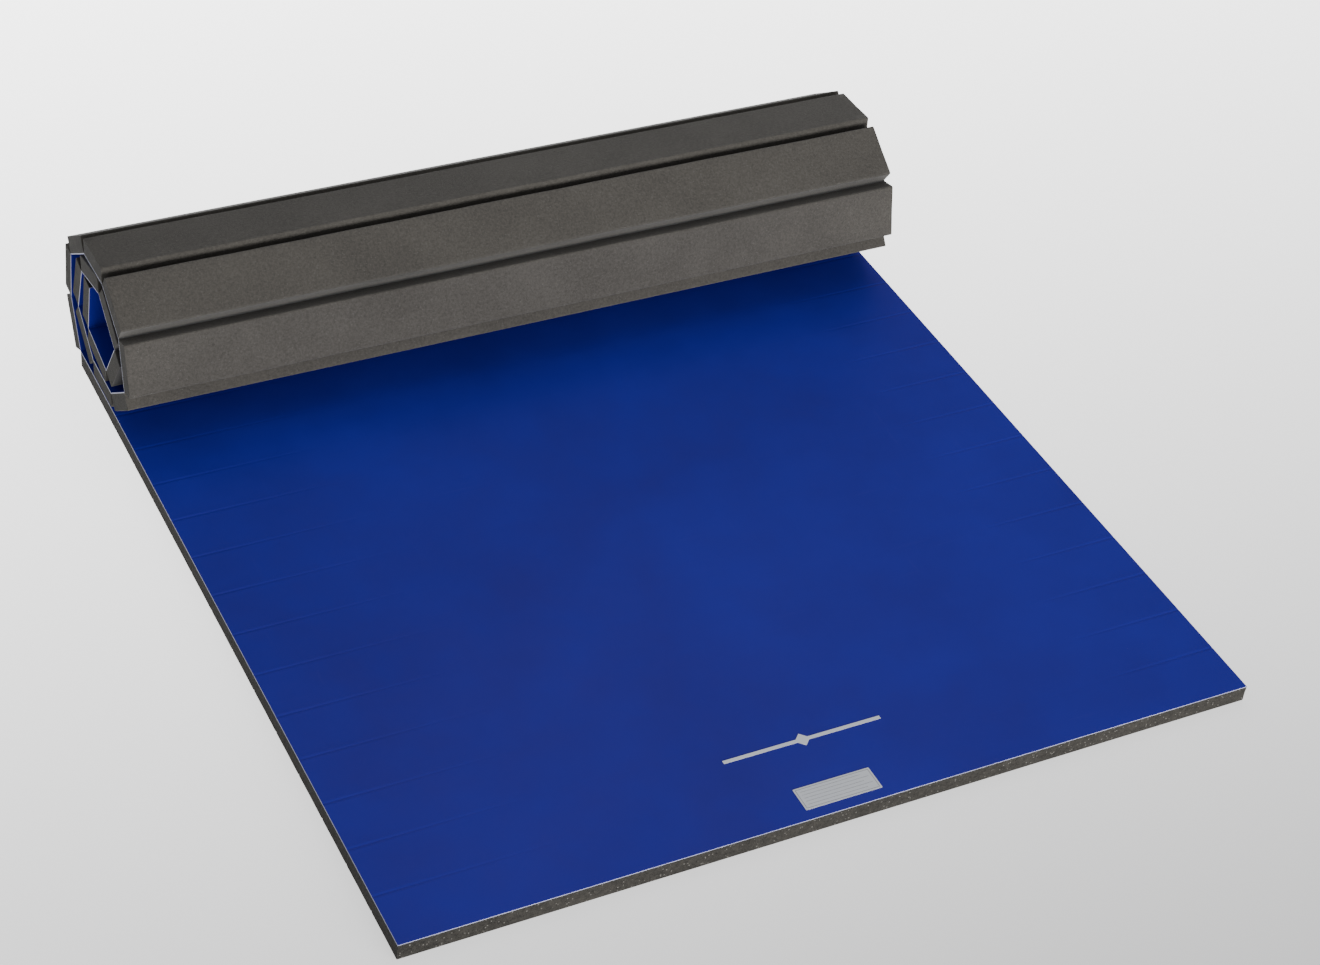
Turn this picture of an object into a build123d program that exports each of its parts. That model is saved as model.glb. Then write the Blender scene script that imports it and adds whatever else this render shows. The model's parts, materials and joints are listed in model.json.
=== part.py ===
"""A roll-up gym mat: foam slats side by side under one vinyl sheet, the far half rolled up on the near half.

X runs across the mat, Y along it from the near end to the rolled end, and Z is up. The origin is on the
floor, in the middle of the mat's width and of its length as it lies rolled.
Every slat hinges on the vinyl's top surface. The foam is slit through under each hinge, so the mat bends
one way only: vinyl inwards, with the slits opening into V-shaped gaps on the foam side.
"""

from build123d import *
from math import cos, radians, sin, sqrt
import os

# Driving dimensions, mm
mat_width = 1524.0
slat_pitch = 101.6
foam_thickness = 31.5
vinyl_thickness = 1.8
slit = 0.4
first_fixed_slat = 9
last_fixed_slat = 15

# How much each rolled slat turns up from the one before it, in degrees, from the outside of the roll inwards
roll_turns = (65, 32, 49, 32, 36, 43, 66, 37, 40, 68, 61, 49, 85, 70, 88)

# The sewn-on label, in the middle of the near edge
label_width = 138.0
label_length = 47.0
label_corner = 2.0
label_from_near_edge = 19.5

# The printed mark behind it: a diamond with a bar on each side
mark_width = 287.0
mark_length = 28.0
mark_bar = 7.0
mark_from_near_edge = 146.0
print_thickness = 0.3

mat_thickness = foam_thickness + vinyl_thickness
flat_length = last_fixed_slat * slat_pitch
slat_count = last_fixed_slat + len(roll_turns)


def slat_places():
    """Each slat's first hinge (how far along the mat, how far above the vinyl) and its slope in degrees."""
    places = {number: ((number - 1) * slat_pitch, 0.0, 0) for number in range(1, last_fixed_slat + 1)}
    along, height, slope = flat_length, 0.0, 0
    for number, turn in enumerate(roll_turns, start=last_fixed_slat + 1):
        slope += turn
        places[number] = (along, height, slope)
        along += slat_pitch * cos(radians(slope))
        height += slat_pitch * sin(radians(slope))
    return places


def furthest_back(places):
    """How far along the mat the roll's outer foam corners reach."""
    reaches = []
    for along, _, slope in places.values():
        outer_face = along + mat_thickness * sin(radians(slope))
        for distance in (slit / 2, slat_pitch - slit / 2):
            reaches.append(outer_face + distance * cos(radians(slope)))
    return max(reaches)


places = slat_places()
near_edge = -(furthest_back(places) + slit / 2) / 2


def slat_plane(number):
    """The left end of a slat: x along it from its first hinge, y out of the vinyl, z across the mat."""
    along, height, slope = places[number]
    hinge = (-mat_width / 2, near_edge + along, mat_thickness + height)
    return Plane(hinge, x_dir=(0, cos(radians(slope)), sin(radians(slope))), z_dir=(1, 0, 0))


def save(part, name):
    part.label = name
    export_step(part, f"parts/{name}.step")


def foam_slat(number):
    """One foam bar, parted from its neighbours by a slit."""
    with BuildPart() as foam:
        with BuildSketch(slat_plane(number)):
            with Locations((slat_pitch / 2, -vinyl_thickness)):
                Rectangle(slat_pitch - slit, foam_thickness, align=(Align.CENTER, Align.MAX))
        extrude(amount=mat_width)
    save(foam.part, f"foam_slat_{number:02d}")


def vinyl_panel(first, last, name):
    """The stretch of vinyl sheet that backs the slats from first to last."""
    length = (last - first + 1) * slat_pitch
    with BuildPart() as vinyl:
        with BuildSketch(slat_plane(first)):
            with Locations((length / 2, 0)):
                Rectangle(length - slit, vinyl_thickness, align=(Align.CENTER, Align.MAX))
        extrude(amount=mat_width)
    save(vinyl.part, name)


def sewn_label():
    """A thin rectangle on the first slat's vinyl."""
    middle = near_edge + label_from_near_edge + label_length / 2
    with BuildPart() as label:
        with BuildSketch(Plane.XY.offset(mat_thickness)):
            with Locations((0, middle)):
                RectangleRounded(label_width, label_length, label_corner)
        extrude(amount=print_thickness)
    save(label.part, "label")


def printed_mark():
    """A plain diamond between two bars, printed across the second slat."""
    middle = near_edge + mark_from_near_edge + mark_length / 2
    diamond_side = mark_length / sqrt(2)
    with BuildPart() as mark:
        with BuildSketch(Plane.XY.offset(mat_thickness)):
            with Locations((0, middle)):
                Rectangle(mark_width, mark_bar)
                Rectangle(diamond_side, diamond_side, rotation=45)
        extrude(amount=print_thickness)
    save(mark.part, "printed_mark")


os.makedirs("parts", exist_ok=True)
for number in range(1, slat_count + 1):
    foam_slat(number)
    if not first_fixed_slat <= number <= last_fixed_slat:
        vinyl_panel(number, number, f"vinyl_panel_{number:02d}")
vinyl_panel(first_fixed_slat, last_fixed_slat, "vinyl_panel_fixed")
sewn_label()
printed_mark()
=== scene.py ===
# %% [markdown]
# # A roll-up gym mat
#
# The mat is a row of narrow foam bars under one sheet of blue vinyl. The foam is slit between the bars, and
# the vinyl is the hinge, so the mat lies flat one way and rolls up the other. Here the far half is rolled up
# and sits on the near half. The CAD model gives every size and place, and this script gives it its looks.

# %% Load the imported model
import json
from math import cos, exp, pi, radians, sin

import bpy
from mathutils import Matrix, Vector, noise


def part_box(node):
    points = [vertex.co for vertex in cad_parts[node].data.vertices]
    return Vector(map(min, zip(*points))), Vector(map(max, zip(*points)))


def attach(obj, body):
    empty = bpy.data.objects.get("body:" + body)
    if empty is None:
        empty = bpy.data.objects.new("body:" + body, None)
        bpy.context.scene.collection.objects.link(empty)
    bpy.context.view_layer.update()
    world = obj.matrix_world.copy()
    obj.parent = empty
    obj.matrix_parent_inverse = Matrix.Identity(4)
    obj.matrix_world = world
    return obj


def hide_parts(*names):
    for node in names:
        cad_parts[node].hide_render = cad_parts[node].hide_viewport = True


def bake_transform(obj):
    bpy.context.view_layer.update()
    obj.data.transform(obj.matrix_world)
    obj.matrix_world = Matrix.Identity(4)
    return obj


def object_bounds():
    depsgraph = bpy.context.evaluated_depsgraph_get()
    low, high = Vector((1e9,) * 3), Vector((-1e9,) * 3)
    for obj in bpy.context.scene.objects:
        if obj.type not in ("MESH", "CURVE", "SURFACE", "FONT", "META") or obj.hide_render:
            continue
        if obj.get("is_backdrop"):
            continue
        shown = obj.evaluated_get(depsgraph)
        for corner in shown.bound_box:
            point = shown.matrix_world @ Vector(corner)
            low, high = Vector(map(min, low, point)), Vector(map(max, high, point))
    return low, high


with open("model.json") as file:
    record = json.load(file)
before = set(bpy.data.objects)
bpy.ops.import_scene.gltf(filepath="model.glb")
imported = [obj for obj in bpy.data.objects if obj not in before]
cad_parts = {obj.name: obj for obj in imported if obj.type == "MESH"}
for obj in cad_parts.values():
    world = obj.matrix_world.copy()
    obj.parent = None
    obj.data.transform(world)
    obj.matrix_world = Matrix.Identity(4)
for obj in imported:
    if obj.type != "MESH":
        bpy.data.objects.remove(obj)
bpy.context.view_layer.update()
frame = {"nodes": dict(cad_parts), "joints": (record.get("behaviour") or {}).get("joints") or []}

# %% [markdown]
# ## Sizes from the frame
#
# A hinge between two bars is a joint in the frame, and its place is on the vinyl's top surface. Its range is
# how far that hinge is bent in the roll. So the joints alone say where every bar starts and how it slopes.
# The other way would be to read each bar's corners, but adding up the turns is shorter, and it gives the
# slope of each bar as well.

# %% Widths, thicknesses and the line of hinges
joints = {joint["name"]: joint for joint in frame["joints"]}
bar_count = 30
first_flat_bar, last_flat_bar = 9, 15
flat_bars = range(first_flat_bar, last_flat_bar + 1)
near_hinges = range(1, first_flat_bar)
roll_hinges = range(last_flat_bar, bar_count)

vinyl_low, vinyl_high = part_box("vinyl_panel_01")
foam_low, foam_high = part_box("foam_slat_01")
half_width = vinyl_high.x
vinyl_thick = vinyl_high.z - vinyl_low.z
foam_thick = foam_high.z - foam_low.z
vinyl_top = vinyl_high.z


def hinge_point(number):
    """Where a hinge is, as (along the mat, up)."""
    place = joints[f"hinge_{number:02d}"]["pos_m"]
    return Vector((place[1], place[2]))


pitch = hinge_point(8).x - hinge_point(7).x
# A hinge is over the middle of its slit, so the slit is twice as wide as the way from the hinge to a bar.
slit = 2 * (hinge_point(1).x - vinyl_high.y)
print(f"Bars every {pitch * 1000:.1f} mm, {slit * 1000:.1f} mm apart")
print(f"Foam {foam_thick * 1000:.1f} mm, vinyl {vinyl_thick * 1000:.1f} mm")

# %% Each bar's first hinge and slope
bar_start = {}
bar_slope = {}
for bar in range(1, last_flat_bar + 1):
    bar_start[bar] = Vector((hinge_point(1).x + (bar - 2) * pitch, vinyl_top))
    bar_slope[bar] = 0.0
for hinge in roll_hinges:
    turn = radians(joints[f"hinge_{hinge:02d}"]["range_deg"][1])
    bar_start[hinge + 1] = hinge_point(hinge)
    bar_slope[hinge + 1] = bar_slope[hinge] + turn
print("The last bar is turned", round(bar_slope[bar_count] * 180 / pi), "degrees from the floor")


def bar_body(bar):
    """The CAD body that a bar belongs to."""
    return "flat_part" if bar in flat_bars else f"slat_{bar:02d}"


def along_bar(bar):
    return Vector((cos(bar_slope[bar]), sin(bar_slope[bar])))


def out_of_vinyl(bar):
    return Vector((-sin(bar_slope[bar]), cos(bar_slope[bar])))


# %% [markdown]
# ## The camera
#
# The camera stands in front of the near left corner, well above the mat, and looks down along it. It is a
# long lens, so the mat's sides close in only a little. The camera is tilted a few degrees to the side, which
# is why the roll climbs towards the right. Turning a camera is three turns: how far it looks down, how far
# it looks round, and how far it tilts about its own view.

# %% Camera
camera_place = Vector((-1.8896, -3.3302, 3.2089))
looks_down = radians(39.29)
looks_right = radians(30.32)
tilts = radians(6.49)
lens_mm = 77.44
film_width_mm = 36.0
furthest_seen = 60.0

camera_data = bpy.data.cameras.new("camera")
camera_data.lens = lens_mm
camera_data.sensor_width = film_width_mm
camera_data.clip_end = furthest_seen
camera = bpy.data.objects.new("camera", camera_data)
bpy.context.scene.collection.objects.link(camera)
turn_round = Matrix.Rotation(-looks_right, 4, "Z")
turn_down = Matrix.Rotation(pi / 2 - looks_down, 4, "X")
turn_aside = Matrix.Rotation(tilts, 4, "Z")
camera.matrix_world = Matrix.Translation(camera_place) @ turn_round @ turn_down @ turn_aside
bpy.context.scene.camera = camera
print("The camera stands", round(camera_place.length, 2), "metres from the middle of the mat")

# %% [markdown]
# ## Helpers for node groups and materials
#
# The foam, the vinyl and the print all share some effects, so each effect is a shader node group: a small
# box of nodes with named sockets, used in each material with its own numbers. A group gives only colours,
# masks and heights. The shader itself stays in the material.

# %% Node group helper
def new_group(name, inputs, outputs):
    """A shader node group. Sockets are (name, kind, value); returns the group, its entry and its exit."""
    group = bpy.data.node_groups.new(name, "ShaderNodeTree")
    for socket, kind, value in inputs:
        made = group.interface.new_socket(socket, in_out="INPUT", socket_type="NodeSocket" + kind)
        made.default_value = value
    for socket, kind in outputs:
        group.interface.new_socket(socket, in_out="OUTPUT", socket_type="NodeSocket" + kind)
    entry = group.nodes.new("NodeGroupInput")
    leave = group.nodes.new("NodeGroupOutput")
    return group, entry, leave


def add_node(tree, kind, feeds=None, **settings):
    """A node of a kind, with its own settings and the values or links that feed its sockets."""
    node = tree.nodes.new("ShaderNode" + kind)
    for setting, value in settings.items():
        setattr(node, setting, value)
    for socket, value in (feeds or {}).items():
        if isinstance(value, bpy.types.NodeSocket):
            tree.links.new(value, node.inputs[socket])
        else:
            node.inputs[socket].default_value = value
    return node


def maths(tree, operation, first, second=0.0, clamp=False):
    """One maths node; returns its result."""
    node = add_node(tree, "Math", {0: first, 1: second}, operation=operation, use_clamp=clamp)
    return node.outputs[0]


def blend_colours(tree, share, first, second):
    """A colour between two others; returns it."""
    node = add_node(tree, "Mix", {0: share, 6: first, 7: second}, data_type="RGBA")
    return node.outputs[2]


def spread(tree, value, low, high, to_low=0.0, to_high=1.0):
    """Stretches a value from one range to another, held at both ends."""
    feeds = {"Value": value, "From Min": low, "From Max": high, "To Min": to_low, "To Max": to_high}
    return add_node(tree, "MapRange", feeds).outputs["Result"]


# %% [markdown]
# ### Foam cells
#
# Cross-linked foam is a mass of tiny closed bubbles. Where a knife has cut it, the open bubbles are pores.
# The colour is painted darker towards each pore's middle, as painted shade, and some cell walls get pale
# specks of painted highlight. A moulded or skived face is finer. Voronoi cells make the pores, and a fine
# noise makes the grain. The same group serves both faces with other numbers.

# %% Group: foam cells
def make_foam_cells():
    inputs = [
        ("Cells per metre", "Float", 500.0),
        ("Speck share", "Float", 0.1),
        ("Dark", "Color", (0.04, 0.04, 0.04, 1)),
        ("Light", "Color", (0.1, 0.1, 0.1, 1)),
        # The speck colour is a painted highlight.
        ("Speck", "Color", (0.3, 0.3, 0.3, 1)),
    ]
    group, entry, leave = new_group("foam cells", inputs, [("Color", "Color"), ("Height", "Float")])
    where = add_node(group, "TexCoord").outputs["Object"]
    size = entry.outputs["Cells per metre"]
    cells = add_node(group, "TexVoronoi", {"Vector": where, "Scale": size})
    grain_size = maths(group, "MULTIPLY", size, 1.7)
    grain = add_node(group, "TexNoise", {"Vector": where, "Scale": grain_size, "Detail": 3.0})
    cloud = add_node(group, "TexNoise", {"Vector": where, "Scale": 7.0, "Detail": 4.0, "Roughness": 0.6})
    clump_size = maths(group, "MULTIPLY", size, 0.4)
    clump = add_node(group, "TexNoise", {"Vector": where, "Scale": clump_size, "Detail": 2.0})
    pore_depth_and_shade = spread(group, cells.outputs["Distance"], 0.05, 0.6)
    tone = maths(group, "MULTIPLY", grain.outputs["Fac"], 0.45)
    tone = maths(group, "ADD", tone, maths(group, "MULTIPLY", clump.outputs["Fac"], 0.55))
    # Painted shade: the colour is darker towards the middle of each pore.
    tone = maths(group, "ADD", tone, maths(group, "MULTIPLY", pore_depth_and_shade, 0.2))
    tone = maths(group, "ADD", tone, maths(group, "MULTIPLY", cloud.outputs["Fac"], 0.35))
    tone = spread(group, tone, 0.5, 1.1)
    colour = blend_colours(group, tone, entry.outputs["Dark"], entry.outputs["Light"])
    # Painted highlight: pale specks on a share of the cells, where cell walls would catch the light.
    chance = add_node(group, "SeparateColor", {"Color": cells.outputs["Color"]}).outputs["Red"]
    highlight_speck = maths(group, "LESS_THAN", chance, entry.outputs["Speck share"])
    core = spread(group, cells.outputs["Distance"], 0.5, 0.25)
    highlight_speck = maths(group, "MULTIPLY", highlight_speck, core)
    colour = blend_colours(group, highlight_speck, colour, entry.outputs["Speck"])
    height = maths(group, "ADD", pore_depth_and_shade, grain.outputs["Fac"])
    group.links.new(colour, leave.inputs["Color"])
    group.links.new(height, leave.inputs["Height"])
    return group


foam_cells = make_foam_cells()
print("Foam cells use", len(foam_cells.nodes), "nodes")

# %% [markdown]
# ### Vinyl grain
#
# Mat vinyl is embossed with a fine pebble so that feet grip it. The pebble is under a millimetre, so from a
# few metres it only softens the shine. It could be modelled, but a bump of that size is what bump is for.
# A slow change of tone and shine stands for handling and for where the foam below is a little uneven.

# %% Group: vinyl grain
def make_vinyl_grain():
    inputs = [("Pebbles per metre", "Float", 900.0)]
    outputs = [("Height", "Float"), ("Tone", "Float"), ("Shine", "Float")]
    group, entry, leave = new_group("vinyl grain", inputs, outputs)
    where = add_node(group, "TexCoord").outputs["Object"]
    size = entry.outputs["Pebbles per metre"]
    pebbles = add_node(group, "TexVoronoi", {"Vector": where, "Scale": size}, feature="SMOOTH_F1")
    slow = add_node(group, "TexNoise", {"Vector": where, "Scale": 2.3, "Detail": 5.0, "Roughness": 0.55})
    patch = add_node(group, "TexNoise", {"Vector": where, "Scale": 11.0, "Detail": 3.0})
    tone = maths(group, "MULTIPLY", slow.outputs["Fac"], 0.7)
    tone = maths(group, "ADD", tone, maths(group, "MULTIPLY", patch.outputs["Fac"], 0.3))
    group.links.new(pebbles.outputs["Distance"], leave.inputs["Height"])
    group.links.new(spread(group, tone, 0.3, 0.7), leave.inputs["Tone"])
    group.links.new(spread(group, patch.outputs["Fac"], 0.3, 0.7), leave.inputs["Shine"])
    return group


vinyl_grain = make_vinyl_grain()
print("Vinyl grain uses", len(vinyl_grain.nodes), "nodes")

# %% [markdown]
# ### Scuffs
#
# Every face that is touched picks up faint scuffs: short pale strokes, denser in some places than others.
# Two noises stretched in different directions make the strokes, and a slow one says where they gather. The
# vinyl, the print and the label all use this group, each with its own amount.

# %% Group: scuffs
def make_scuffs():
    inputs = [("Amount", "Float", 0.3)]
    group, entry, leave = new_group("scuffs", inputs, [("Mask", "Float")])
    where = add_node(group, "TexCoord").outputs["Object"]
    strokes = []
    for stretch, angle in (((4.0, 90.0, 40.0), 0.4), ((70.0, 5.0, 40.0), -0.3)):
        feeds = {"Vector": where, "Scale": stretch, "Rotation": (0.0, 0.0, angle)}
        mapped = add_node(group, "Mapping", feeds).outputs["Vector"]
        lines = add_node(group, "TexNoise", {"Vector": mapped, "Scale": 1.6, "Detail": 3.0})
        strokes.append(spread(group, lines.outputs["Fac"], 0.66, 0.8))
    gather = add_node(group, "TexNoise", {"Vector": where, "Scale": 3.1, "Detail": 2.0})
    gather = spread(group, gather.outputs["Fac"], 0.45, 0.7)
    both = maths(group, "MAXIMUM", strokes[0], strokes[1])
    mask = maths(group, "MULTIPLY", maths(group, "MULTIPLY", both, gather), entry.outputs["Amount"])
    group.links.new(mask, leave.inputs["Mask"])
    return group


scuffs = make_scuffs()
print("Scuffs use", len(scuffs.nodes), "nodes")


# %% [markdown]
# ## Materials
#
# Each material starts from a Principled shader. What is the same all over the piece, such as how strongly it
# mirrors, is set on the shader. What changes from place to place comes from the groups.

# %% Material helpers
def new_material(name):
    """An empty node material with its Principled shader."""
    material = bpy.data.materials.new(name)
    material.use_nodes = True
    return material, material.node_tree, material.node_tree.nodes["Principled BSDF"]


def place_group(tree, group, feeds=None):
    """A node group in a material, with its own numbers."""
    node = tree.nodes.new("ShaderNodeGroup")
    node.node_tree = group
    for socket, value in (feeds or {}).items():
        node.inputs[socket].default_value = value
    return node


def add_bump(tree, shader, height, depth, strength):
    """Feeds a height to the shader's normal. depth is in metres."""
    feeds = {"Height": height, "Distance": depth, "Strength": strength}
    bump = add_node(tree, "Bump", feeds)
    tree.links.new(bump.outputs["Normal"], shader.inputs["Normal"])


# %% Foam materials
def make_foam(name, cells, specks, dark, light, highlight_speck, depth, fuzz=0.25):
    material, tree, shader = new_material(name)
    feeds = {"Cells per metre": cells, "Speck share": specks, "Dark": dark, "Light": light, "Speck": highlight_speck}
    foam = place_group(tree, foam_cells, feeds)
    tree.links.new(foam.outputs["Color"], shader.inputs["Base Color"])
    shader.inputs["Roughness"].default_value = 0.93
    shader.inputs["Specular IOR Level"].default_value = 0.25
    shader.inputs["Sheen Weight"].default_value = fuzz
    shader.inputs["Sheen Roughness"].default_value = 0.45
    add_bump(tree, shader, foam.outputs["Height"], depth, 0.7)
    return material


foam_face = make_foam("foam face", 560.0, 0.02, (0.034, 0.031, 0.027, 1), (0.096, 0.089, 0.078, 1),
                      (0.13, 0.125, 0.115, 1), 0.0003)
# The cut foam is painted darker than the faces: partly its own coarser cut, partly painted shade in its open
# pores.
cut_foam_with_painted_shade = make_foam("foam cut", 330.0, 0.07, (0.007, 0.0065, 0.0055, 1), (0.05, 0.046, 0.039, 1),
                     (0.17, 0.16, 0.145, 1), 0.0007, fuzz=0.06)
print("Foam materials:", foam_face.name, "and", cut_foam_with_painted_shade.name)

# %% Vinyl materials
def make_vinyl():
    material, tree, shader = new_material("vinyl face")
    grain = place_group(tree, vinyl_grain, {"Pebbles per metre": 850.0})
    marks = place_group(tree, scuffs, {"Amount": 0.05})
    blue = blend_colours(tree, grain.outputs["Tone"], (0.013, 0.012, 0.25, 1), (0.018, 0.018, 0.34, 1))
    blue = blend_colours(tree, marks.outputs["Mask"], blue, (0.12, 0.17, 0.42, 1))
    tree.links.new(blue, shader.inputs["Base Color"])
    shine = spread(tree, grain.outputs["Shine"], 0.0, 1.0, 0.4, 0.45)
    rough = maths(tree, "ADD", shine, marks.outputs["Mask"])
    tree.links.new(rough, shader.inputs["Roughness"])
    shader.inputs["Specular IOR Level"].default_value = 0.13
    add_bump(tree, shader, grain.outputs["Height"], 0.0001, 0.5)
    return material


# Pale along the sheet's cut edges and top chamfers: partly the cut edge's own colour, partly a painted
# highlight line along the chamfer.
def make_vinyl_edge_and_highlight():
    material, tree, shader = new_material("vinyl cut edge")
    grain = place_group(tree, vinyl_grain, {"Pebbles per metre": 1400.0})
    pale = blend_colours(tree, grain.outputs["Tone"], (0.42, 0.44, 0.62, 1), (0.62, 0.63, 0.74, 1))
    tree.links.new(pale, shader.inputs["Base Color"])
    shader.inputs["Roughness"].default_value = 0.6
    add_bump(tree, shader, grain.outputs["Height"], 0.0002, 0.5)
    return material


def make_backing():
    material, tree, shader = new_material("glued backing")
    foam = place_group(tree, foam_cells, {"Cells per metre": 900.0, "Speck share": 0.02})
    tree.links.new(foam.outputs["Color"], shader.inputs["Base Color"])
    shader.inputs["Roughness"].default_value = 0.8
    add_bump(tree, shader, foam.outputs["Height"], 0.0003, 0.4)
    return material


vinyl_face = make_vinyl()
vinyl_edge_and_highlight = make_vinyl_edge_and_highlight()
vinyl_back = make_backing()
print("Vinyl materials:", ", ".join(made.name for made in (vinyl_face, vinyl_edge_and_highlight, vinyl_back)))

# %% Print and label materials
def make_print(name, pale, worn, amount, shine):
    """Pale ink or film with faint scuffs, a little uneven in tone."""
    material, tree, shader = new_material(name)
    grain = place_group(tree, vinyl_grain, {"Pebbles per metre": 1100.0})
    marks = place_group(tree, scuffs, {"Amount": amount})
    wear = maths(tree, "MULTIPLY", grain.outputs["Tone"], 0.35)
    wear = maths(tree, "ADD", wear, marks.outputs["Mask"], clamp=True)
    colour = blend_colours(tree, wear, pale, worn)
    tree.links.new(colour, shader.inputs["Base Color"])
    shader.inputs["Roughness"].default_value = shine
    add_bump(tree, shader, grain.outputs["Height"], 0.00006, 0.4)
    return material


ink = make_print("white ink", (0.74, 0.77, 0.82, 1), (0.5, 0.54, 0.66, 1), 0.4, 0.45)
label_film = make_print("label film", (0.68, 0.7, 0.74, 1), (0.56, 0.58, 0.63, 1), 0.2, 0.5)
label_ink = make_print("label ink", (0.26, 0.27, 0.3, 1), (0.36, 0.37, 0.4, 1), 0.2, 0.6)
print("Print materials:", ", ".join(made.name for made in (ink, label_film, label_ink)))


# %% [markdown]
# ## A helper that skins rings of points
#
# Both the bars and the sheet are long shapes with one cross-section: a ring of points, repeated at many
# stations and joined with four-sided faces, then closed at both ends. A ring can change a little from one
# station to the next, which is how the foam gets its uneven edges and the vinyl its creases.

# %% Skin helper
def skin(name, rings, materials, ring_materials, cap_material, smooth_materials=()):
    """A closed mesh over rings of equal length. ring_materials names each ring side's material slot."""
    count = len(rings[0])
    points = [point for ring in rings for point in ring]
    faces = []
    kinds = []
    for station in range(len(rings) - 1):
        first, second = station * count, (station + 1) * count
        for side in range(count):
            following = (side + 1) % count
            faces.append((first + side, first + following, second + following, second + side))
            kinds.append(ring_materials[side])
    last = (len(rings) - 1) * count
    faces.append(tuple(reversed(range(count))))
    faces.append(tuple(range(last, last + count)))
    kinds += [cap_material, cap_material]
    mesh = bpy.data.meshes.new(name)
    mesh.from_pydata(points, [], faces)
    for material in materials:
        mesh.materials.append(material)
    mesh.polygons.foreach_set("material_index", kinds)
    mesh.polygons.foreach_set("use_smooth", [kind in smooth_materials for kind in kinds])
    mesh.update()
    mesh.set_sharp_from_angle(angle=radians(20))
    piece = bpy.data.objects.new(name, mesh)
    bpy.context.scene.collection.objects.link(piece)
    return piece


# %% [markdown]
# ## The foam bars
#
# Each bar is cut from a sheet of foam. Its long outer edges are a little rounded from use, its faces swell
# and dip by a fraction of a millimetre, and its ends are sawn square. A CAD box can't show that, so each bar
# is a ring of points with rounded outer corners, moved by a smooth noise that only ever takes foam away.
#
# The knife that parts two bars leaves their sides flat, but it wanders a little along the mat. Both sides of
# a slit follow it, so the slit keeps its width, and a bar's side can stand up to 0.8 mm out of its CAD solid.

# %% Foam bar section
edge_round = 0.0024
end_chamfer = 0.0006
foam_dip = 0.00045
knife_play = 0.0008
corner_steps = 6
face_spans = 14
bar_spans = 60
noise_seed = Vector((3.1, 7.7, 1.3))


def bar_section():
    """A bar's cross-section: (along, out of the vinyl, kind of side that follows)."""
    left, right = slit / 2, pitch - slit / 2
    top, bottom = -vinyl_thick, -vinyl_thick - foam_thick
    ring = [(left, top, "near"), (left, bottom + foam_thick / 2, "near")]
    for step in range(corner_steps + 1):
        turn = pi + step * pi / (2 * corner_steps)
        ring.append((left + edge_round * (1 + cos(turn)), bottom + edge_round * (1 + sin(turn)), "face"))
    for step in range(1, face_spans):
        share = step / face_spans
        ring.append((left + edge_round + (right - left - 2 * edge_round) * share, bottom, "face"))
    for step in range(corner_steps + 1):
        turn = 1.5 * pi + step * pi / (2 * corner_steps)
        ring.append((right + edge_round * (cos(turn) - 1), bottom + edge_round * (1 + sin(turn)), "face"))
    ring[-1] = (*ring[-1][:2], "far")
    ring += [(right, bottom + foam_thick / 2, "far"), (right, top, "face")]
    return ring


section = bar_section()
print("A bar's section has", len(section), "points")


# %% Make the bars
def foam_dent(point, bar):
    """How far a foam point is sunk, from 0 to 1, changing slowly along the bar."""
    slow = noise.noise(Vector((point.x * 2.2, point.y * 9, point.z * 9)) + noise_seed * bar)
    fine = noise.noise(Vector((point.x * 24, point.y * 30, point.z * 30)) + noise_seed)
    return min(1.0, max(0.0, 0.45 + 0.6 * slow + 0.25 * fine))


def knife_wander(cut, across):
    """How far a slit strays along the mat. The mat's own two ends are cut straight."""
    if cut in (0, bar_count):
        return 0.0
    slow = noise.noise(Vector((across * 5.0, cut * 3.7, 2.2)))
    quick = noise.noise(Vector((across * 14.0, cut * 1.9, 8.1)))
    return knife_play * (slow + 0.5 * quick)


def on_knife_side(bar, run, rise):
    """Whether a point is on a side that faces another bar. The knife leaves those sides flat."""
    sides = [side for side, mat_end in ((slit / 2, 1), (pitch - slit / 2, bar_count)) if bar != mat_end]
    above_edge = rise > -vinyl_thick - foam_thick + 0.99 * edge_round
    near_enough = 0.0001
    return above_edge and any(abs(run - side) < near_enough for side in sides)


def make_bar(bar):
    """One foam bar, on its own body, in place of its CAD slat."""
    along, out = along_bar(bar), out_of_vinyl(bar)
    stations = [(-half_width, end_chamfer), (-half_width + end_chamfer, 0.0)]
    stations += [(-half_width + 2 * half_width * step / bar_spans, 0.0) for step in range(1, bar_spans)]
    stations += [(half_width - end_chamfer, 0.0), (half_width, end_chamfer)]
    middle = Vector((pitch / 2, -vinyl_thick - foam_thick / 2))
    rings = []
    for across, inset in stations:
        near_stray, far_stray = knife_wander(bar - 1, across), knife_wander(bar, across)
        ring = []
        for run, rise, _ in section:
            flat = Vector((run, rise))
            inward = (middle - flat).normalized()
            near_vinyl = rise > -vinyl_thick - 0.001
            place = bar_start[bar] + along * run + out * rise
            sink = foam_dip * foam_dent(Vector((across, *place)), bar)
            if near_vinyl or on_knife_side(bar, run, rise):
                sink = 0.0
            flat += inward * (sink + (0.0 if near_vinyl else inset))
            share = run / pitch
            flat.x += near_stray * (1 - share) + far_stray * share
            place = bar_start[bar] + along * flat.x + out * flat.y
            ring.append((across, place.x, place.y))
        rings.append(ring)
    # The sawn sides and the bar ends get the darker cut foam, with its painted pore shade.
    sawn = {1: "near", bar_count: "far"}.get(bar)
    kinds = [1 if kind == sawn else 0 for _, _, kind in section]
    piece = skin(f"foam_bar_{bar:02d}", rings, [foam_face, cut_foam_with_painted_shade], kinds, 1, smooth_materials=(0,))
    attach(piece, bar_body(bar))
    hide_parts(f"foam_slat_{bar:02d}")
    return piece


bars = [make_bar(bar) for bar in range(1, bar_count + 1)]
print("Made", len(bars), "foam bars of", len(bars[0].data.vertices), "points each")

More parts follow.
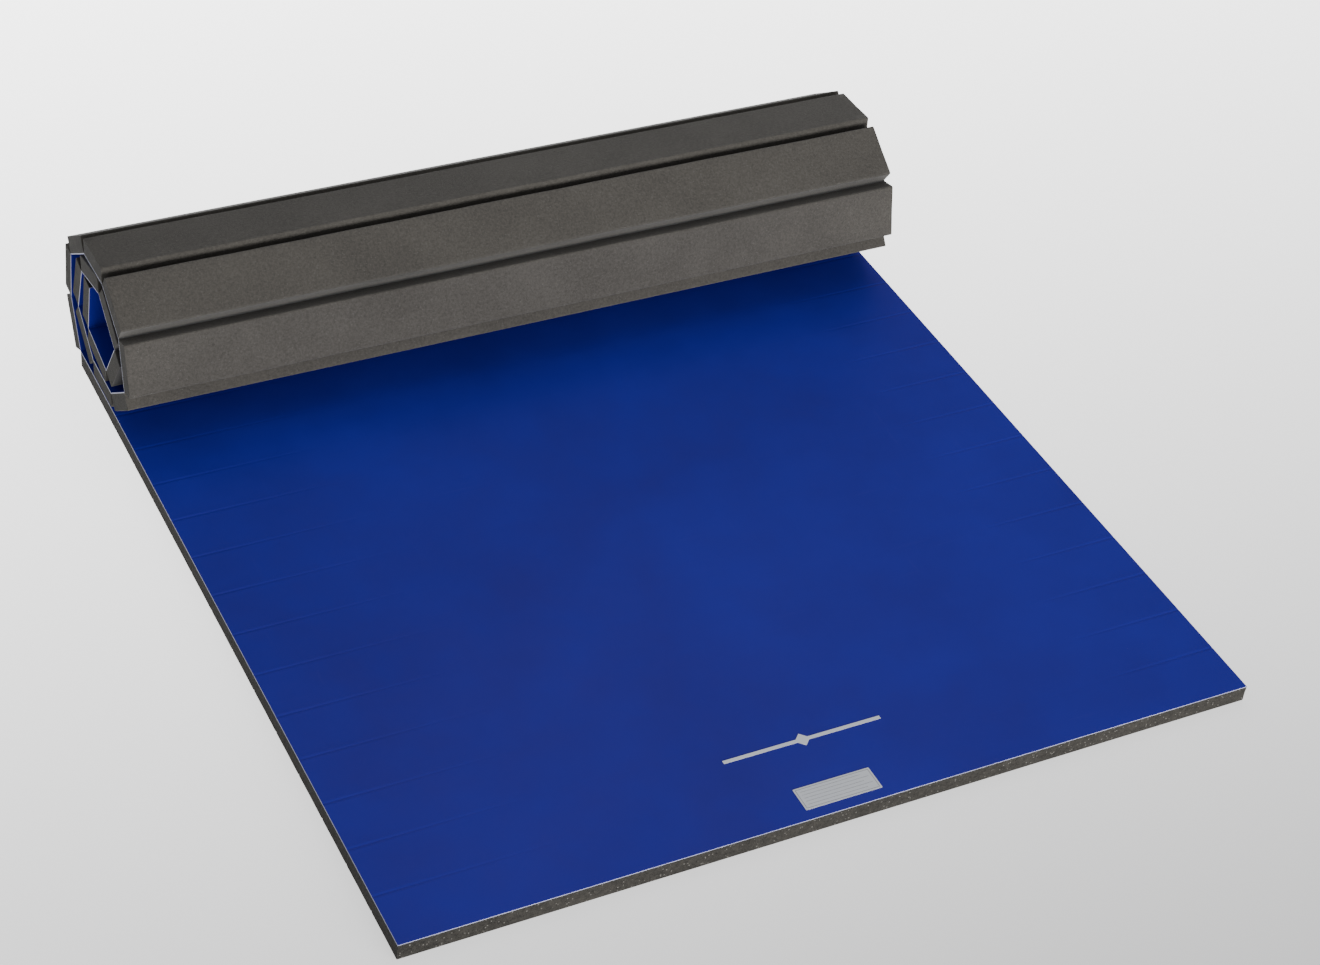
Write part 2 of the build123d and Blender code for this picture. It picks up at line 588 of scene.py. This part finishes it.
# %% [markdown]
# ## The vinyl sheet
#
# The real sheet is one piece. At rest the pieces meet edge to edge.
#
# A sheet that bends at a hinge doesn't fold to a sharp line: it keeps its length and bows a little into the
# slit.

# %% Vinyl path
crease_reach = 0.006
sheet_chamfer = 0.0004


def hinge_share(place, start, end):
    line = end - start
    share = min(1.0, max(0.0, (place - start).dot(line) / line.length_squared))
    return share * share * (3 - 2 * share)


def turned(place, pivot, angle):
    offset = place - pivot
    return pivot + Vector((offset.x * cos(angle) - offset.y * sin(angle),
                           offset.x * sin(angle) + offset.y * cos(angle)))


def bend_ends(hinge):
    """Where the bend at a hinge starts and ends, as (along, up)."""
    pivot = bar_start[hinge + 1]
    return pivot - along_bar(hinge) * crease_reach, pivot + along_bar(hinge + 1) * crease_reach


def bent_place(hinge, run, height):
    """A sheet point run metres past a hinge and height over its surface, and the way out of the sheet."""
    pivot = bar_start[hinge + 1]
    start, end = bend_ends(hinge)
    turn = bar_slope[hinge + 1] - bar_slope[hinge]
    unbent = pivot + along_bar(hinge) * run + out_of_vinyl(hinge) * height
    share = 0.5 + 0.5 * min(1.0, max(-1.0, run / crease_reach))
    for _ in range(12):
        place = turned(unbent, pivot, share * turn)
        share = hinge_share(place, start, end)
    return turned(unbent, pivot, share * turn)


# %% [markdown]
# ### Creases
#
# Where the foam is slit, the vinyl above keeps a faint crease from being rolled and unrolled. It shows best
# near the sides, where the sheet is free to lift, and hardly in the middle. A crease is a shallow groove
# with a low lip on each side.

# %% Crease depth
crease_depth = 0.00035
crease_width = 0.0022
loose_reach = 0.16
ripple_depth = 0.00018


def crease(across, run):
    """The sheet's height at run metres past a slit."""
    side = (half_width - abs(across)) / loose_reach
    strength = 0.12 + 0.88 * exp(-side * side)
    strength *= 0.75 + 0.5 * noise.noise(Vector((across * 9, 4.2, 0.3)))
    groove = exp(-((run / crease_width) ** 2))
    lip = exp(-(((abs(run) - 2.4 * crease_width) / (1.6 * crease_width)) ** 2))
    return crease_depth * strength * (0.35 * lip - groove)


def ripple(across, along):
    """The sheet's slow unevenness over the foam."""
    slow = noise.noise(Vector((across * 3.0, along * 3.0, 5.5)))
    return ripple_depth * (slow - 1.0)


# %% Make one stretch of sheet
sheet_materials = [vinyl_face, vinyl_edge_and_highlight, vinyl_back]
column_count = 64


def across_places():
    """Where the sheet has points across its width: closer together near the sides."""
    inner = half_width - sheet_chamfer
    places = []
    for column in range(column_count + 1):
        share = 2 * column / column_count - 1
        places.append(inner * (1.35 * share - 0.35 * share ** 3))
    return places


sheet_columns = across_places()


def sheet_runs(first, last):
    """Distances past a hinge where the sheet has points: fine at the hinge and wide on the bar."""
    fine = [step * crease_reach / 10 for step in range(-16, 17)]
    before = [first + (fine[0] - first) * step / 6 for step in range(6)]
    after = [fine[-1] + (last - fine[-1]) * step / 6 for step in range(1, 7)]
    return [first, first + sheet_chamfer, *before[1:], *fine, *after[:-1], last - sheet_chamfer, last]


def sheet_ring(place_at, low_top=0.0):
    """One ring of the sheet: its top from left to right, then its underside back."""
    top = [(across, -low_top) for across in sheet_columns]
    left, right = -half_width, half_width
    ring = [(left, -vinyl_thick), (left, -max(sheet_chamfer, low_top)), *top]
    ring += [(right, -max(sheet_chamfer, low_top)), (right, -vinyl_thick)]
    ring += [(across, -vinyl_thick) for across in reversed(sheet_columns[1:-1:8])]
    points = []
    for across, height in ring:
        on_top = height > -vinyl_thick / 2
        place = place_at(across, height, on_top)
        points.append((across, place.x, place.y))
    return points


def sheet_kinds():
    """Each ring side's material: 0 vinyl, 1 cut edge and top chamfer, pale partly as a painted highlight
    line, 2 underside.
    """
    columns = len(sheet_columns)
    under = len(sheet_columns[1:-1:8])
    return [1, 1] + [0] * (columns - 1) + [1, 1] + [2] * (under + 1)


def finish_sheet(node):
    """Hides the CAD panel that a stretch stands for."""
    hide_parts(node)


def hinge_sheet(hinge, first, last, node):
    """The stretch of sheet across one hinge, from first to last metres past it, in place of a CAD panel."""
    runs = sheet_runs(first, last)
    cut_ends = {0: hinge == 1, len(runs) - 1: hinge == bar_count - 1}
    rings = []
    for number, run in enumerate(runs):
        def place_at(across, height, on_top, run=run):
            lift = crease(across, run) + ripple(across, bar_start[hinge + 1].x + run) if on_top else 0.0
            return bent_place(hinge, run, height + lift)
        rings.append(sheet_ring(place_at, sheet_chamfer if cut_ends.get(number) else 0.0))
    name = f"vinyl_sheet_{hinge:02d}"
    piece = skin(name, rings, sheet_materials, sheet_kinds(), 1, smooth_materials=(0,))
    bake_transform(piece)
    finish_sheet(node)
    return piece


# %% Make the sheet
def make_sheets():
    half = pitch / 2
    whole = pitch - slit / 2
    sheets = []
    for hinge in near_hinges:
        first = -whole if hinge == 1 else -half
        sheets.append(hinge_sheet(hinge, first, half, f"vinyl_panel_{hinge:02d}"))
    for hinge in roll_hinges:
        last = whole if hinge == bar_count - 1 else half
        sheets.append(hinge_sheet(hinge, -half, last, f"vinyl_panel_{hinge + 1:02d}"))
    return sheets


sheets = make_sheets()
print("Made", len(sheets), "stretches of sheet over the hinges")

# %% [markdown]
# ### The middle of the sheet
#
# Bars 9 to 15 carry the roll and stay on the floor, so the sheet over them is one stretch from the middle of
# bar 9 to the middle of bar 15. It has the same creases over the slits.

# %% Make the middle stretch
def make_middle_sheet():
    end = bar_start[last_flat_bar].x + pitch / 2
    slits = [bar_start[bar].x for bar in flat_bars[1:]]
    stops = []
    for slit_place in slits:
        stops += [slit_place + run for run in sheet_runs(-pitch / 2, pitch / 2)[:-1]]
    stops.append(end)
    rings = []
    for stop in stops:
        nearest = min(slits, key=lambda place: abs(place - stop))

        def place_at(across, height, on_top, stop=stop, run=stop - nearest):
            lift = crease(across, run) + ripple(across, stop) if on_top else 0.0
            return Vector((stop, vinyl_top + height + lift))
        rings.append(sheet_ring(place_at))
    piece = skin("vinyl_sheet_middle", rings, sheet_materials, sheet_kinds(), 1, smooth_materials=(0,))
    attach(piece, "flat_part")
    finish_sheet("vinyl_panel_fixed")
    return piece


middle_sheet = make_middle_sheet()
print("The middle stretch has", len(middle_sheet.data.polygons), "faces")

# %% [markdown]
# ## The label and the printed mark
#
# Both are thin enough to be CAD pieces as they are, so they only get their materials. The label carries a
# printed frame and a few ruled lines for the owner to write on. They are narrow raised strips of ink, a
# shade over the film, made as one mesh.

# %% Materials for the CAD pieces
def give_material(node, material):
    """A carried-over CAD piece gets one material."""
    mesh = frame["nodes"][node].data
    mesh.materials.clear()
    mesh.materials.append(material)


give_material("label", label_film)
give_material("printed_mark", ink)

# %% Label print
ink_height = 0.0001
print_margin = 0.003
line_width = 0.0009
rule_count = 6


def label_strips():
    """The strips of the label's frame and rules, as (left, near, right, far) in metres."""
    low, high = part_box("label")
    line = line_width
    left, right = low.x + print_margin, high.x - print_margin
    near, far = low.y + print_margin, high.y - print_margin
    strips = [(left, near, right, near + line), (left, far - line, right, far)]
    strips += [(left, near + line, left + line, far - line), (right - line, near + line, right, far - line)]
    for rule in range(1, rule_count):
        place = near + (far - near) * rule / rule_count
        strips.append((left + 0.006, place, right - 0.006 - 0.012 * (rule % 2), place + line * 0.6))
    return strips, high.z


def make_label_print():
    """The frame and rules as one mesh, which rides on the first bar with the label."""
    strips, base = label_strips()
    points, faces = [], []
    for left, near, right, far in strips:
        first = len(points)
        outline = ((left, near), (right, near), (right, far), (left, far))
        for height in (base - ink_height, base + ink_height):
            points += [(*corner, height) for corner in outline]
        faces.append(tuple(first + corner for corner in (3, 2, 1, 0)))
        faces.append(tuple(first + corner for corner in (4, 5, 6, 7)))
        for corner in range(4):
            following = (corner + 1) % 4
            faces.append((first + corner, first + following, first + following + 4, first + corner + 4))
    mesh = bpy.data.meshes.new("label_print")
    mesh.from_pydata(points, [], faces)
    mesh.materials.append(label_ink)
    piece = bpy.data.objects.new("label_print", mesh)
    bpy.context.scene.collection.objects.link(piece)
    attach(piece, "slat_01")
    return piece


label_print = make_label_print()
print("The label's print has", len(label_print.data.polygons) // 6, "strips")


# %% [markdown]
# ## Floor and light
#
# The mat stands on a pale studio floor. The floor is one large sheet, brightest behind the mat, darker
# in front of it, and pale again far in front. Its colour is a painted falloff of light: pale behind the mat
# and dark grey in front of it. Paint alone can't be that bright in a soft light, so the floor also glows with
# painted light. Most of the glow is for the camera, and less of it falls on the mat.
#
# The light is soft: a broad panel low in front, which lights the roll's front faces, a weak panel overhead,
# which leaves a soft shadow before the roll, a weaker one low behind, and a pale sky that fills the rest.

# %% Floor
floor_reach = 14.0
glow_near, glow_far = -2.3, 3.8
glow_front = -5.5
glow_on_mat = 0.4


def make_floor():
    """The floor, marked as part of the stage."""
    reach = floor_reach
    mesh = bpy.data.meshes.new("floor")
    corners = [(-reach, -reach, 0.0), (reach, -reach, 0.0), (reach, reach, 0.0), (-reach, reach, 0.0)]
    mesh.from_pydata(corners, [], [(0, 1, 2, 3)])
    material, tree, shader = new_material("floor")
    where = add_node(tree, "TexCoord").outputs["Object"]
    along = add_node(tree, "SeparateXYZ", {"Vector": where}).outputs["Y"]
    share = spread(tree, along, glow_near, glow_far)
    # Painted light: the floor's colour is lighter behind the mat and darker in front of it.
    painted_falloff_grey = blend_colours(tree, share, (0.36, 0.36, 0.365, 1), (0.9, 0.9, 0.9, 1))
    seen = add_node(tree, "LightPath").outputs["Is Camera Ray"]
    level = maths(tree, "POWER", share, 1.5)
    level = maths(tree, "MAXIMUM", level, spread(tree, along, glow_near, glow_front, 0.0, 0.5))
    level = maths(tree, "MULTIPLY", level, spread(tree, seen, 0.0, 1.0, glow_on_mat, 1.0))
    glow = blend_colours(tree, level, (0.02, 0.02, 0.02, 1), (1.0, 1.0, 1.0, 1))
    tree.links.new(painted_falloff_grey, shader.inputs["Base Color"])
    tree.links.new(glow, shader.inputs["Emission Color"])
    shader.inputs["Emission Strength"].default_value = 7.0
    shader.inputs["Roughness"].default_value = 0.9
    shader.inputs["Specular IOR Level"].default_value = 0.1
    mesh.materials.append(material)
    floor = bpy.data.objects.new("floor", mesh)
    bpy.context.scene.collection.objects.link(floor)
    floor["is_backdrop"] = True


make_floor()
print("The floor is in place")


# %% Lights
def add_panel(name, place, aim, width, height, power):
    """A soft rectangular light that faces a point."""
    light = bpy.data.lights.new(name, "AREA")
    light.shape = "RECTANGLE"
    light.size = width
    light.size_y = height
    light.energy = power
    lamp = bpy.data.objects.new(name, light)
    bpy.context.scene.collection.objects.link(lamp)
    facing = (Vector(aim) - Vector(place)).to_track_quat("-Z", "Y")
    lamp.matrix_world = Matrix.Translation(place) @ facing.to_matrix().to_4x4()


add_panel("front panel", (1.6, -7.0, 1.35), (0.0, 0.4, 0.2), 7.0, 2.5, 760.0)
add_panel("top panel", (1.4, 1.4, 4.0), (0.0, 0.2, 0.0), 4.0, 3.0, 42.0)
add_panel("back panel", (0.6, 5.5, 1.4), (0.0, 0.7, 0.3), 4.0, 1.6, 28.0)

sky_on_mat, sky_seen = 0.35, 2.4

world = bpy.data.worlds.new("studio")
world.use_nodes = True
backdrop = world.node_tree.nodes["Background"]
backdrop.inputs["Color"].default_value = (0.96, 0.97, 1.0, 1)
seen = add_node(world.node_tree, "LightPath").outputs["Is Camera Ray"]
brightness = spread(world.node_tree, seen, 0.0, 1.0, sky_on_mat, sky_seen)
world.node_tree.links.new(brightness, backdrop.inputs["Strength"])
bpy.context.scene.world = world

# %% Measure the mat and finish
visual_low, visual_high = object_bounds()
visual_size = [round(high - low, 4) for low, high in zip(visual_low, visual_high)]
print("The mat as it looks is", visual_size, "metres")
